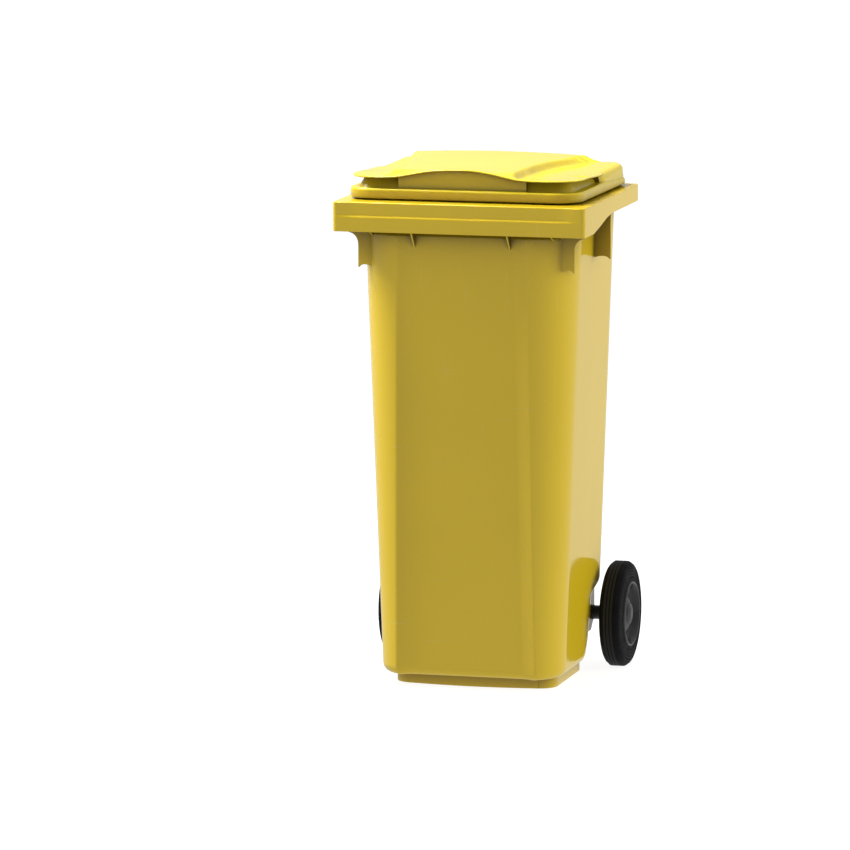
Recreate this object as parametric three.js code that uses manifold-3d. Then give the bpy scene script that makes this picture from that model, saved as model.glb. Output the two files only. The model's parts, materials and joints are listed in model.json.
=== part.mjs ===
// Two-wheeled refuse bin (nominal 120 litres) as an assembly of separate pieces.
// Millimetres. X across, Y front (-) to back (+), Z up. Origin: centre of the footprint, on the floor.
import * as THREE from 'three';
import { mergeVertices } from 'three/addons/utils/BufferGeometryUtils.js';
import Module from 'manifold-3d';

const wasm = await Module();
wasm.setup();

// ---------- driving dimensions ----------
const GAP = 0.3;                 // clearance between pieces that touch

const RIM_HALF = 240;            // rim half width
const RIM_FRONT = -275;          // front face of the rim band
const RIM_REAR = 152;            // rear face of the rim band
const RIM_TOP = 916;
const RIM_SKIN = 4;              // thickness of the rim's top and band
const FRONT_BAND = 54;           // band height at the front
const REAR_BAND = 31;            // band height at the sides and rear
const BAND_SWEEP = [-202, -56];  // where the deep band sweeps up to the shallow one, along Y

const WALL = 4;                  // wall of the body
const FLOOR_Z = 24;              // underside of the body's floor
const MOUTH_Z = 905;             // height at which the top half width is measured
const BASE_HALF = 175;           // half width of the body at the floor
const MOUTH_HALF = 207.5;        // half width of the body at the mouth
const BASE_FRONT = -236;         // front of the corner posts at the floor
const TOP_FRONT = -255;          // front of the corner posts below the rim
const COMB_Z = 852;              // above this the front wall steps back behind the rim band
const COMB_FRONT = -218;         // front wall behind the comb pocket
const PANEL_HALF = [133, 122];   // half width of the recessed front panel, floor and top
const PANEL_FRONT = [-218, -248];  // plane of the recessed front panel, floor and top
const PANEL_STEP = 28;           // width of the panel's slanted edge
const REAR_WALL = 142;           // rear wall above the axle shelf
const SHELF_Z = 167;             // top of the axle shelf
const WEB_FRONT_Y = -217;        // upright webs between the body and the rim
const WEB_SIDE_Y = -57;
const WEB_T = 4;
const COMB_RIB_T = 3;
const DRAIN_R = 3;               // drain holes through the rim's top

const PLINTH_HALF = 155;         // the foot under the floor
const PLINTH_FRONT = -180;
const PLINTH_REAR = 48;
const PLINTH_BOW = 10;
const PLINTH_WALL = 6;           // also the bearing edge of the foot

const LID_HALF = 222;
const LID_FRONT = -235;
const LID_REAR = 149;
const LID_BOTTOM = 919.5;
const LID_CORNERS = [46, 34];    // corner radii, front and rear
const LID_LEDGE = 938;           // top of the lid's skirt
const LID_EDGE = 957;            // height of the lid's outer edge
const LID_SKIN = 3.5;
const DOME_RISE = 15;            // dome behind the lip, above the edge
const DOME_X = -22;              // middle of the dome and of the crest
const DOME_HALF = [140, 183];    // half width at the dome's foot, front and rear
const DOME_SLOPE = 22;           // width of the dome's sloping side
const CREST_RISE = 18;           // crest in the middle of the front lip, above the edge
const POCKET_DEPTH = 22;         // depth of the finger pockets under the lid's wings
const POCKET_INNER_X = [-128, 112];   // inner ends of the left and right pocket
const POCKET_REAR_Y = -42;

const HINGE_Y = 259;
const HINGE_Z = 883;
const HINGE_PIN_R = 6;
const HINGE_PIN_END = 141;       // |x| of the pin's inner end, inside the grip
const GRIP_R = 15;
const EAR_R = 16;
const GRIP_EAR = [30, 40];       // |x| of the ears, from the middle outwards
const INNER_EAR = [156, 166];
const LID_ARM = [170, 186];
const OUTER_EAR = [190, 202];

const AXLE_Y = 105;
const AXLE_Z = 100;
const AXLE_R = 10;
const AXLE_HALF = 233;
const WHEEL_R = 100;
const SEAT = [144, 154];         // |x| of the outer axle seats
const SEAT_BOSS = 161;           // |x| of the outer end of their bosses
const SEAT_BOSS_R = 15;
const INNER_SEAT = [62, 70];
const HUB_INNER = 191;
const LOCK_X = 214;              // |x| of the groove in the axle and of the lock pin
const LOCK_PIN_R = 3.4;

const BUFFER_X = 209.5;
const BUFFER_YS = [-160, 110];
const BUFFER_R = 6;
const BUFFER_TOP = 926;          // lower end of the lid's posts, on which the buffers sit

// ---------- helpers ----------
const { lerp, clamp, smoothstep, degToRad } = THREE.MathUtils;
const along = (z, low, high) => lerp(low, high, (z - FLOOR_Z) / (MOUTH_Z - FLOOR_Z));

function solid(geometry) {
  const bare = geometry.index ? geometry.toNonIndexed() : geometry.clone();
  bare.deleteAttribute('normal');
  bare.deleteAttribute('uv');
  const welded = mergeVertices(bare, 1e-3);
  return new wasm.Manifold(new wasm.Mesh({
    numProp: 3,
    vertProperties: new Float32Array(welded.attributes.position.array),
    triVerts: new Uint32Array(welded.index.array),
  }));
}

function geometryOf(manifold) {
  const mesh = manifold.getMesh();
  const geometry = new THREE.BufferGeometry();
  geometry.setAttribute('position', new THREE.BufferAttribute(mesh.vertProperties, 3));
  geometry.setIndex(new THREE.BufferAttribute(mesh.triVerts, 1));
  geometry.computeVertexNormals();
  return geometry;
}

function arc(cx, cy, radius, fromDeg, toDeg, steps) {
  const points = [];
  for (let i = 0; i <= steps; i += 1) {
    const angle = degToRad(lerp(fromDeg, toDeg, i / steps));
    points.push(new THREE.Vector2(cx + radius * Math.cos(angle), cy + radius * Math.sin(angle)));
  }
  return points;
}

// A closed skin through rings of equal length, counter-clockwise seen from above, lowest first.
function loft(rings) {
  const count = rings[0].points.length;
  const positions = rings.flatMap(({ z, points }) => points.flatMap((p) => [p.x, p.y, z]));
  const index = [];
  for (let level = 0; level < rings.length - 1; level += 1) {
    for (let i = 0; i < count; i += 1) {
      const a = level * count + i;
      const b = level * count + ((i + 1) % count);
      index.push(a, b, b + count, a, b + count, a + count);
    }
  }
  const top = (rings.length - 1) * count;
  for (const [a, b, c] of THREE.ShapeUtils.triangulateShape(rings[0].points, [])) index.push(c, b, a);
  for (const [a, b, c] of THREE.ShapeUtils.triangulateShape(rings.at(-1).points, [])) {
    index.push(top + a, top + b, top + c);
  }
  const geometry = new THREE.BufferGeometry();
  geometry.setAttribute('position', new THREE.Float32BufferAttribute(positions, 3));
  geometry.setIndex(index);
  return solid(geometry);
}

function box(x0, x1, y0, y1, z0, z1) {
  const geometry = new THREE.BoxGeometry(x1 - x0, y1 - y0, z1 - z0);
  geometry.translate((x0 + x1) / 2, (y0 + y1) / 2, (z0 + z1) / 2);
  return solid(geometry);
}

// A plate with a YZ outline (counter-clockwise), from x0 to x1.
function plateX(outline, x0, x1) {
  const geometry = new THREE.ExtrudeGeometry(new THREE.Shape(outline),
    { depth: x1 - x0, bevelEnabled: false });
  const turn = new THREE.Matrix4().makeBasis(
    new THREE.Vector3(0, 1, 0), new THREE.Vector3(0, 0, 1), new THREE.Vector3(1, 0, 0));
  geometry.applyMatrix4(turn);
  geometry.translate(x0, 0, 0);
  return solid(geometry);
}

function rodX(radius, x0, x1, y, z, sides = 20) {
  const geometry = new THREE.CylinderGeometry(radius, radius, x1 - x0, sides);
  geometry.rotateZ(-Math.PI / 2);
  geometry.translate((x0 + x1) / 2, y, z);
  return solid(geometry);
}

function rodZ(radius, x, y, z0, z1, sides = 16) {
  const geometry = new THREE.CylinderGeometry(radius, radius, z1 - z0, sides);
  geometry.rotateX(Math.PI / 2);
  geometry.translate(x, y, (z0 + z1) / 2);
  return solid(geometry);
}

// A closed (x, radius) profile turned about the X axis.
function turnedX(profile, sides) {
  const ring = profile.map(([x, radius]) => new THREE.Vector2(radius, x));
  if (THREE.ShapeUtils.area(ring) < 0) ring.reverse();
  const geometry = new THREE.LatheGeometry([...ring, ring[0]], sides);
  geometry.rotateZ(-Math.PI / 2);
  return geometry;
}

const union = (solids) => solids.reduce((all, next) => all.add(next));
const cut = (from, tools) => tools.reduce((left, tool) => left.subtract(tool), from);
const bothSides = (make, [near, far]) => [make(near, far), make(-far, -near)];

// ---------- body ----------
// Rear wall: upright above the axle shelf, drawn forward below it.
function rearAt(z) {
  const stops = [[FLOOR_Z, 56], [60, 78], [95, 86], [150, 94],
    [SHELF_Z, REAR_WALL - 1], [MOUTH_Z, REAR_WALL + 1]];
  const next = stops.findIndex(([height]) => height >= z);
  if (next <= 0) return next === 0 ? stops[0][1] : stops.at(-1)[1];
  const [lowZ, lowY] = stops[next - 1];
  const [highZ, highY] = stops[next];
  return lerp(lowY, highY, (z - lowZ) / (highZ - lowZ));
}

function bodyOutline(z, wall, tuck = 0) {
  const inset = wall + tuck;
  const half = along(z, BASE_HALF, MOUTH_HALF) - inset;
  const comb = smoothstep(z, COMB_Z, COMB_Z + 20);
  const front = lerp(along(z, BASE_FRONT, TOP_FRONT), COMB_FRONT - 3, comb) + inset;
  const panelFront = lerp(along(z, ...PANEL_FRONT), COMB_FRONT, comb) + inset;
  const rear = rearAt(z - (wall ? 5 : 0)) - inset;
  const frontR = along(z, 80, 100) - inset;
  const rearR = lerp(80, 60, smoothstep(z, 150, SHELF_Z)) - inset;
  const panel = along(z, ...PANEL_HALF) - 0.4 * inset;
  const edge = THREE.MathUtils.radToDeg(Math.acos((panel - (half - frontR)) / frontR));
  return [
    ...arc(-half + frontR, front + frontR, frontR, 180, 180 + edge, 6),
    new THREE.Vector2(-panel + PANEL_STEP, panelFront),
    new THREE.Vector2(panel - PANEL_STEP, panelFront),
    ...arc(half - frontR, front + frontR, frontR, 360 - edge, 360, 6),
    ...arc(half - rearR, rear - rearR, rearR, 0, 90, 6),
    ...arc(-half + rearR, rear - rearR, rearR, 90, 180, 6),
  ];
}

function bodyShell(wall, heights) {
  return loft(heights.map(([z, tuck]) => ({ z, points: bodyOutline(z, wall, tuck) })));
}

function roundedRectangle(half, front, rear, frontR, rearR, steps = 4) {
  return [
    ...arc(-half + frontR, front + frontR, frontR, 180, 270, steps),
    ...arc(half - frontR, front + frontR, frontR, 270, 360, steps),
    ...arc(half - rearR, rear - rearR, rearR, 0, 90, steps),
    ...arc(-half + rearR, rear - rearR, rearR, 90, 180, steps),
  ];
}

// The foot is a shallow ring whose front edge is slightly bowed.
function plinthOutline(inset) {
  const corners = roundedRectangle(PLINTH_HALF - inset, PLINTH_FRONT + PLINTH_BOW + inset,
    PLINTH_REAR - inset, 34 - inset, 20 - inset, 5);
  const bow = [-80, 0, 80].map((x) => new THREE.Vector2(
    x, PLINTH_FRONT + inset + PLINTH_BOW * (x / 121) ** 2));
  return [...corners.slice(0, 6), ...bow, ...corners.slice(6)];
}

function plinth() {
  const ring = (inset, z0, z1) => loft([z0, z1].map((z) => ({ z, points: plinthOutline(inset) })));
  return ring(0, 0, FLOOR_Z + 3).subtract(ring(PLINTH_WALL, -1, FLOOR_Z));
}

function rimOutline(inset) {
  return roundedRectangle(RIM_HALF - inset, RIM_FRONT + inset, RIM_REAR - inset, 7 - inset, 11 - inset, 2);
}

// Hollow under the rim, open below: the lower edge sweeps up from the front band to the side bands.
function rim() {
  const low = RIM_TOP - FRONT_BAND;
  const high = RIM_TOP - REAR_BAND;
  const block = loft([low, RIM_TOP].map((z) => ({ z, points: rimOutline(0) })));
  const hollow = loft([low - 1, RIM_TOP - RIM_SKIN].map((z) => ({ z, points: rimOutline(RIM_SKIN) })));
  const [sweepFront, sweepRear] = BAND_SWEEP;
  const below = plateX([[sweepFront, low - 2], [RIM_REAR + 5, low - 2], [RIM_REAR + 5, high],
    [sweepRear, high], [-100, low + 19], [-150, low + 9], [sweepFront, low]]
    .map(([y, z]) => new THREE.Vector2(y, z)), -RIM_HALF - 1, RIM_HALF + 1);
  const frontRecess = box(-224, 224, RIM_FRONT - 1, RIM_FRONT + 2, RIM_TOP - 25, RIM_TOP + 1);
  return cut(block, [hollow, below, frontRecess]);
}

// Upright webs that carry the rim. Each spans |x| from inner to outer and rises from low to the rim.
function rimWebs() {
  const web = (y, inner, outer, low) => bothSides(
    (x0, x1) => box(x0, x1, y, y + WEB_T, low, RIM_TOP - RIM_SKIN / 2), [inner, outer]);
  const front = [...web(WEB_FRONT_Y, 165, 202, 788), ...web(WEB_FRONT_Y, 190, 216, 848)];
  return union([...front, ...web(WEB_SIDE_Y, 198, RIM_HALF - 2, 792)]);
}

// Small ribs between the front band and the front wall. Each runs down to (reach, low) on the wall.
function combRibs() {
  const [front, rear, top] = [RIM_FRONT + 2, COMB_FRONT + 2, RIM_TOP - RIM_SKIN / 2];
  const rib = (x, reach, low) => {
    const outline = [[front, RIM_TOP - FRONT_BAND + 2], [reach, low], [rear, low + 24], [rear, top],
      [front, top]];
    return bothSides((x0, x1) => plateX(outline.map(([y, z]) => new THREE.Vector2(y, z)), x0, x1),
      [x - COMB_RIB_T / 2, x + COMB_RIB_T / 2]);
  };
  return union([...rib(91, -244, 830), ...rib(172, -240, 848), ...rib(187, -240, 852)]);
}

// Ears behind the rim carry the two grips, which share the lid's hinge axis.
function handle() {
  const ear = [[141, 874], [244, 869]].map(([y, z]) => new THREE.Vector2(y, z))
    .concat(arc(HINGE_Y, HINGE_Z, EAR_R, -100, 90, 11), [new THREE.Vector2(141, RIM_TOP - 1)]);
  const ears = [GRIP_EAR, INNER_EAR, OUTER_EAR].flatMap(
    (span) => bothSides((x0, x1) => plateX(ear, x0, x1), span));
  const grips = bothSides((x0, x1) => rodX(GRIP_R, x0, x1, HINGE_Y, HINGE_Z),
    [GRIP_EAR[0] + 2, INNER_EAR[1] - 2]);
  const bores = bothSides((x0, x1) => rodX(HINGE_PIN_R + GAP, x0, x1, HINGE_Y, HINGE_Z),
    [HINGE_PIN_END - 3, OUTER_EAR[1] + 1]);
  return cut(union([...ears, ...grips]), bores);
}

function axleSeats() {
  const outline = [[30, 66], [100, 66]].map(([y, z]) => new THREE.Vector2(y, z))
    .concat(arc(AXLE_Y, AXLE_Z, 22, -50, 0, 5))
    .concat([[127, 160], [30, 160]].map(([y, z]) => new THREE.Vector2(y, z)));
  const seats = [SEAT, INNER_SEAT].flatMap((span) => bothSides((x0, x1) => plateX(outline, x0, x1), span));
  const bosses = bothSides((x0, x1) => rodX(SEAT_BOSS_R, x0, x1, AXLE_Y, AXLE_Z), [SEAT[0] + 2, SEAT_BOSS]);
  const bore = rodX(AXLE_R + GAP, -SEAT_BOSS - 1, SEAT_BOSS + 1, AXLE_Y, AXLE_Z, 24);
  return union([...seats, ...bosses]).subtract(bore);
}

function body() {
  const outside = bodyShell(0, [[FLOOR_Z, 12], [30, 4], [40, 0], [60, 0], [95, 0], [150, 0],
    [SHELF_Z, 0], [COMB_Z, 0], [COMB_Z + 20, 0], [RIM_TOP, 0]]);
  const inside = bodyShell(WALL, [[FLOOR_Z + 5, 11], [36, 3], [45, 0], [65, 0], [100, 0], [155, 0],
    [SHELF_Z + 5, 0], [COMB_Z, 0], [COMB_Z + 20, 0], [RIM_TOP + 5, 0]]);
  const drains = [[228, -118], [228, 128], [206, 141]].flatMap(([x, y]) => [x, -x].map(
    (side) => rodZ(DRAIN_R, side, y, RIM_TOP - 2 * RIM_SKIN, RIM_TOP + 1, 8)));
  const moulding = union([outside, plinth(), rim(), rimWebs(), combRibs(), axleSeats(), handle()]);
  return cut(moulding, [inside, ...drains]);
}

// ---------- lid ----------
// Height of the lid's outer surface: a flat border, a dome, and a crest along the front lip.
function lidTop(x, y) {
  const domeHalf = lerp(DOME_HALF[0], DOME_HALF[1], smoothstep(y, -155, LID_REAR));
  const across = Math.abs(x - DOME_X);
  const dome = DOME_RISE * (1 - smoothstep(across, domeHalf - DOME_SLOPE, domeHalf));
  const side = clamp((x - DOME_X) / (x < DOME_X ? 95 : 130), -1, 1);
  const crest = CREST_RISE * Math.cos((side * Math.PI) / 2) ** 2 + 2;
  return LID_EDGE + lerp(crest, dome, smoothstep(y, LID_FRONT, LID_FRONT + 75));
}

// Everything under the lid's outer surface, or under that surface lowered by a skin.
function underLidTop(lowered) {
  const [width, depth, low, high] = [470, 400, 880, 1000];
  const geometry = new THREE.BoxGeometry(width, depth, high - low, 28, 18, 1);
  geometry.translate(0, (LID_FRONT + LID_REAR) / 2, (low + high) / 2);
  const corner = geometry.attributes.position;
  for (let i = 0; i < corner.count; i += 1) {
    if (corner.getZ(i) > low + 1) corner.setZ(i, lidTop(corner.getX(i), corner.getY(i)) - lowered);
  }
  return solid(geometry);
}

function lidOutline(inset) {
  const [front, rear] = LID_CORNERS.map((radius) => radius - inset);
  return roundedRectangle(LID_HALF - inset, LID_FRONT + inset, LID_REAR - inset, front, rear, 7);
}

function lidBlock(rows) {
  return loft(rows.map(([z, inset]) => ({ z, points: lidOutline(inset) })));
}

// Finger pocket under each wing: the corner of the lid, outside a wall set back by the pocket's depth.
function pockets(grow) {
  const setBack = lidBlock([[LID_LEDGE - 60, POCKET_DEPTH + grow], [1010, POCKET_DEPTH + grow]]);
  const corner = (x0, x1) => box(x0, x1, LID_FRONT - 5, POCKET_REAR_Y + grow, LID_LEDGE - grow, 1000);
  const [left, right] = POCKET_INNER_X;
  const corners = [corner(-LID_HALF - 5, left + grow), corner(right - grow, LID_HALF + 5)];
  return union(corners).subtract(setBack);
}

function lidArms() {
  const outline = [new THREE.Vector2(LID_REAR - 2, 926)]
    .concat(arc(HINGE_Y, HINGE_Z, 16, -115, 60, 9), [new THREE.Vector2(LID_REAR - 2, 954)]);
  const arms = bothSides((x0, x1) => plateX(outline, x0, x1), LID_ARM);
  const bores = bothSides((x0, x1) => rodX(HINGE_PIN_R + GAP, x0, x1, HINGE_Y, HINGE_Z),
    [LID_ARM[0] - 1, LID_ARM[1] + 1]);
  return cut(union(arms), bores);
}

const bufferPlaces = BUFFER_YS.flatMap((y) => [BUFFER_X, -BUFFER_X].map((x) => [x, y]));

function lid() {
  const outer = lidBlock([[LID_BOTTOM, 0], [LID_LEDGE - 1, 1], [LID_LEDGE, 3], [1000, 3]])
    .intersect(underLidTop(0));
  const cavity = lidBlock([[LID_BOTTOM - 1, LID_SKIN], [1000, LID_SKIN + 3]])
    .intersect(underLidTop(LID_SKIN)).subtract(pockets(LID_SKIN));
  const wingGaps = pockets(0).intersect(underLidTop(LID_SKIN));
  const posts = union(bufferPlaces.map(([x, y]) => rodZ(BUFFER_R, x, y, BUFFER_TOP, 990, 12)));
  return union([outer.subtract(cavity), posts.intersect(outer), lidArms()]).subtract(wingGaps);
}

function buffer() {
  const height = BUFFER_TOP - RIM_TOP - 2 * GAP;
  const geometry = new THREE.CylinderGeometry(BUFFER_R - 0.5, BUFFER_R, height, 16);
  geometry.rotateX(Math.PI / 2);
  return geometry;
}

// ---------- hinge pins, axle and wheels, all turned about X ----------
function hingePin() {
  const head = OUTER_EAR[1] + GAP;
  return turnedX([[HINGE_PIN_END, 0], [HINGE_PIN_END, 4.6], [HINGE_PIN_END + 3, HINGE_PIN_R],
    [head, HINGE_PIN_R], [head, 9], [head + 3, 9], [head + 5, 7], [head + 5, 0]], 20);
}

function axle() {
  const groove = [LOCK_X - 4, LOCK_X + 4];
  const end = [[groove[0], AXLE_R], [groove[0], 7.8], [groove[1], 7.8], [groove[1], AXLE_R],
    [AXLE_HALF - 1.5, AXLE_R], [AXLE_HALF, AXLE_R - 1.5], [AXLE_HALF, 0]];
  const mirrored = end.map(([x, radius]) => [-x, radius]).reverse();
  return turnedX([...mirrored, ...end], 24);
}

function sleeve() {
  const [from, to] = [SEAT_BOSS + GAP, HUB_INNER - GAP];
  return turnedX([[from, AXLE_R + GAP], [from, 14], [to, 14], [to, AXLE_R + GAP]], 20);
}

function tyre() {
  return turnedX([[197, 62], [236.5, 62], [237.2, 66], [236, 90], [232.5, 96.5], [226, WHEEL_R],
    [204, WHEEL_R], [198, 96.5], [195, 90], [195, 66]], 40);
}

function hub() {
  const turned = turnedX([[HUB_INNER, AXLE_R + GAP], [HUB_INNER, 22], [199, 24], [199, 45], [206, 47],
    [206, 53], [197.3, 55], [197.3, 61.7], [238, 61.7], [239.8, 60], [239.8, 57.5], [236, 56], [224, 52],
    [222, 48], [226, 40], [233, 22], [236.5, 18.5], [236.5, 15.6], [233.4, 15.4],
    [233.4, AXLE_R + GAP]], 32);
  const lockPocket = rodZ(4, LOCK_X, 0, 9, 41);
  return geometryOf(solid(turned).subtract(lockPocket));
}

function hubCap() {
  return turnedX([[233.8, 0], [233.8, 15.1], [236.4, 15.2], [238, 12], [238.6, 0]], 24);
}

function lockPin() {
  const profile = [[0, 8.2], [2.2, 8.2], [LOCK_PIN_R, 9.6], [LOCK_PIN_R, 22], [0, 22]];
  const geometry = new THREE.LatheGeometry(profile.map(([x, y]) => new THREE.Vector2(x, y)), 16);
  geometry.rotateX(Math.PI / 2);
  geometry.translate(LOCK_X, 0, 0);
  return geometry;
}

class Helix extends THREE.Curve {
  getPoint(t, target = new THREE.Vector3()) {
    const angle = t * Math.PI * 2 * 4;
    return target.set(LOCK_X + 2.6 * Math.cos(angle), 2.6 * Math.sin(angle), lerp(23, 40, t));
  }
}

function lockSpring() {
  const section = new THREE.Shape(arc(0, 0, 0.55, 0, 288, 4));
  return new THREE.ExtrudeGeometry(section, { extrudePath: new Helix(), steps: 40, bevelEnabled: false });
}

// ---------- materials and assembly ----------
const plastic = (color, roughness) => new THREE.MeshStandardMaterial({ color, roughness, metalness: 0 });
const yellow = plastic(0xd8b02c, 0.35);
const blackPlastic = plastic(0x17181a, 0.45);
const rubber = plastic(0x101112, 0.8);
const steel = new THREE.MeshStandardMaterial({ color: 0xb4b7ba, roughness: 0.35, metalness: 1 });

const group = new THREE.Group();

function add(name, geometry, material, position = [0, 0, 0], flipped = false) {
  const mesh = new THREE.Mesh(geometry, material.clone());
  mesh.name = name;
  mesh.position.set(...position);
  mesh.rotation.z = flipped ? Math.PI : 0;
  group.add(mesh);
}

add('body', geometryOf(body()), yellow);
add('lid', geometryOf(lid()), yellow);
for (const [i, [x, y]] of bufferPlaces.entries()) {
  add(`lid_buffer_${i + 1}`, buffer(), rubber, [x, y, (RIM_TOP + BUFFER_TOP) / 2]);
}
const axleCentre = [0, AXLE_Y, AXLE_Z];
add('axle', axle(), steel, axleCentre);
for (const [side, flipped] of [['right', false], ['left', true]]) {
  add(`hinge_pin_${side}`, hingePin(), blackPlastic, [0, HINGE_Y, HINGE_Z], flipped);
  add(`axle_sleeve_${side}`, sleeve(), blackPlastic, axleCentre, flipped);
  add(`tyre_${side}`, tyre(), rubber, axleCentre, flipped);
  add(`wheel_hub_${side}`, hub(), blackPlastic, axleCentre, flipped);
  add(`hub_cap_${side}`, hubCap(), blackPlastic, axleCentre, flipped);
  add(`lock_pin_${side}`, lockPin(), steel, axleCentre, flipped);
  add(`lock_spring_${side}`, lockSpring(), steel, axleCentre, flipped);
}

export default group;
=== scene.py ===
import json
import math
import bpy
import bmesh
import numpy as np
from mathutils import Matrix, Quaternion, Vector


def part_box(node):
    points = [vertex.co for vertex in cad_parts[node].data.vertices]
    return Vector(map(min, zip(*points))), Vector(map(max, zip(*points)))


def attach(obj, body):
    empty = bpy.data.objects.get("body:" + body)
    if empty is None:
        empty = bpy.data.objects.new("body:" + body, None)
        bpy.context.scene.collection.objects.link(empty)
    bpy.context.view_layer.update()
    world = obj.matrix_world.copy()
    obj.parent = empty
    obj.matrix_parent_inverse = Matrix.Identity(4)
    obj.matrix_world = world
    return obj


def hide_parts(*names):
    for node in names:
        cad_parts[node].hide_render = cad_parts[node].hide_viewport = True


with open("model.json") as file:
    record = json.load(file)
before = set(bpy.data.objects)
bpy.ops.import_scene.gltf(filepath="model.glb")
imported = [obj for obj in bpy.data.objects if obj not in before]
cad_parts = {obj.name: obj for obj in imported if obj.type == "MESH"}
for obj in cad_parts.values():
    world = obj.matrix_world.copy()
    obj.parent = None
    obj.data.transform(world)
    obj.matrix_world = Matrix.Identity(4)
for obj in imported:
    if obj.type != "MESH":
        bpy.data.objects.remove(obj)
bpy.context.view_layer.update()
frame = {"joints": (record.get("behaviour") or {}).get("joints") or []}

# A two-wheeled refuse bin. The pieces' sizes are in millimetres, which make() and rod_z() turn into metres.
# The camera, lights, floor and materials use metres. +X is to the right, +Y to the handle at the rear, +Z up.
MM = 0.001


def box_mm(node):
    low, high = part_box(node)
    return [v / MM for v in low], [v / MM for v in high]


(BODY_LOW, BODY_HIGH), (LID_LOW, LID_HIGH) = box_mm("body"), box_mm("lid")
JOINTS = {j["name"]: j for j in frame["joints"]}
HINGE_Y, HINGE_Z = (v / MM for v in JOINTS["lid_hinge"]["pos_m"][1:])
AXLE_Y, AXLE_Z = (v / MM for v in JOINTS["wheel_right_spin"]["pos_m"][1:])

# ---------- sizes of the body ----------
# A pair holds the value at FLOOR_Z and the value at MOUTH_Z, unless its comment says otherwise.
SKIN = 4.0                        # thickness of the walls and the rim
FLOOR_Z, MOUTH_Z = 24.0, 905.0
SIDE_HALF = (175.0, 207.5)        # half width over the side walls
POST_FRONT = (-236.0, -255.0)     # y of the posts on both sides of the front panel
PANEL_FRONT = (-218.0, -248.0)    # y of the recessed front panel
CREASE_HALF = (133.0, 122.0)      # x of the crease between the panel's slope and the post
CREASE_REACH = 3.0                # the crease is rounded this far to both sides
PANEL_SLOPE = 28.0                # width of the slope between the panel and the crease
SLOPE_POWER = 1.7
FRONT_RADIUS = (80.0, 100.0)      # outer radius of the front corners
REAR_RADIUS = (80.0, 60.0)        # of the rear corners, below and above the bend in the rear wall
REAR_BEND = (150.0, 167.0)        # heights between which the rear wall steps back over the axle
COMB_Z, COMB_RISE = 852.0, 20.0   # the front steps back over COMB_RISE for the comb of a lorry
COMB_FRONT = -221.0
SHELF = ((24.0, 56.0), (60.0, 78.0), (95.0, 86.0), (150.0, 94.0), (167.0, 141.0), (905.0, 143.0))    # z, y
BASE_ROUND, BASE_TUCK = 16.0, 12.0    # height and depth of the round edge under the walls
INSIDE_FLOOR, DRY_FLOOR = 29.0, 30.5  # the inside's floor at its edge and in the middle
BASE_MIDDLE = (0.0, -70.0)
FOOT_HALF, FOOT_FRONT, FOOT_REAR, FOOT_BOW, FOOT_WALL = 155.0, -180.0, 48.0, 10.0, 6.0
FOOT_CORNERS = (34, 20)           # radius in front and behind
RIM_HALF, RIM_FRONT, RIM_REAR, RIM_TOP = BODY_HIGH[0], BODY_LOW[1], 152.0, BODY_HIGH[2]
RIM_CORNERS = (7, 11)             # radius in front and behind
RIM_EDGE, MOUTH_EDGE = 2, 2.5     # radii of the rim's top edges, outside and at the mouth
FRONT_BAND = 55.0                 # height of the rim's front band
BAND_SWEEP = ((-202, 0), (-185, 3), (-150, 9), (-100, 19), (-70, 22), (-56, 23))    # y, rise of the edge
RIDGE_Z, RECESS = 890.0, 2.4      # the front band is set back by RECESS above RIDGE_Z
RECESS_MIDDLE, RECESS_ENDS = -5, (204, 224)    # the recess fades out between these distances from its middle
# heights of the rings up the outside of the walls and down the inside
OUTER_LEVELS = (46, 54, 62, 72, 84, 95, 106, 120, 134, 142, 147, 150, 153, 156, 159, 162, 165, 168, 171, 175,
                182, 200, 260, 330, 400, 470, 540, 610, 680, 740, 790, 820, 836, 845, 850, 853, 856, 859, 862,
                865, 868, 871, 874, 880, 895, 907)
INNER_LEVELS = (907, 895, 880, 874, 871, 868, 865, 862, 859, 856, 853, 850, 845, 836, 820, 790, 740, 680, 610,
                540, 470, 400, 330, 260, 205, 185, 178, 174, 171, 168, 165, 162, 159, 156, 153, 150, 146, 138,
                120, 106, 90, 72, 60, 52)
# upright webs: y of both faces, half width under the rim and lower down, height of the foot and of the flare
WEBS = ((-217, -213, 226, 207, 788, 853), (-57, -53, RIM_HALF - 2.4, 236, 797, 886))
WEB_BEVEL, WEB_BITE, FLARE = 0.9, 2.2, 22    # edge, depth in the wall, height of the flare
# ribs behind the front band: x, y and z of the lower tip, y of the rear edge
RIBS = ((91, -244, 830, COMB_FRONT + 2), (172, -238, 850, -215), (187, -230, 854, -215))
RIB_HALF, RIB_CLIMB = 1.5, 26     # half thickness, and height from the tip to the rear edge
EAR_SPANS, EAR_R, EAR_ROOT = ((30, 40), (156, 166), (190, 202)), 16, 141
GRIP_SPAN, GRIP_R = (34, 162), 15
SEAT_SPANS, SEAT_R = ((150.5, 160.5), (62, 70)), 22    # plates that carry the axle
BOSS_SPAN, BOSS_R = (146, 161), 15
PIN_BORE, BODY_BORE_SPAN, ARM_BORE_SPAN = 6.3, (138, 204), (168, 188)
AXLE_BORE, AXLE_BORE_HALF = 10.3, 170
DRAINS, DRAIN_R = ((228, -118), (228, 128), (206, 141)), 3


# ---------- helpers ----------
# angles above which an edge is hard: while building, on the mouldings, on wheels and axle, on small pieces
SHARP, MOULDED, WHEELED, ROUND = 32.0, 34, 40, 50
TINY = 1e-6                       # a radius below this is a point on the line


def lerp(a, b, t):
    return a + (b - a) * t


def ease(v, low, high):
    t = np.clip((np.asarray(v, float) - low) / (high - low), 0.0, 1.0)
    return t * t * (3 - 2 * t)


def at_height(z, low_high):
    return lerp(low_high[0], low_high[1], (z - FLOOR_Z) / (MOUTH_Z - FLOOR_Z))


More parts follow.
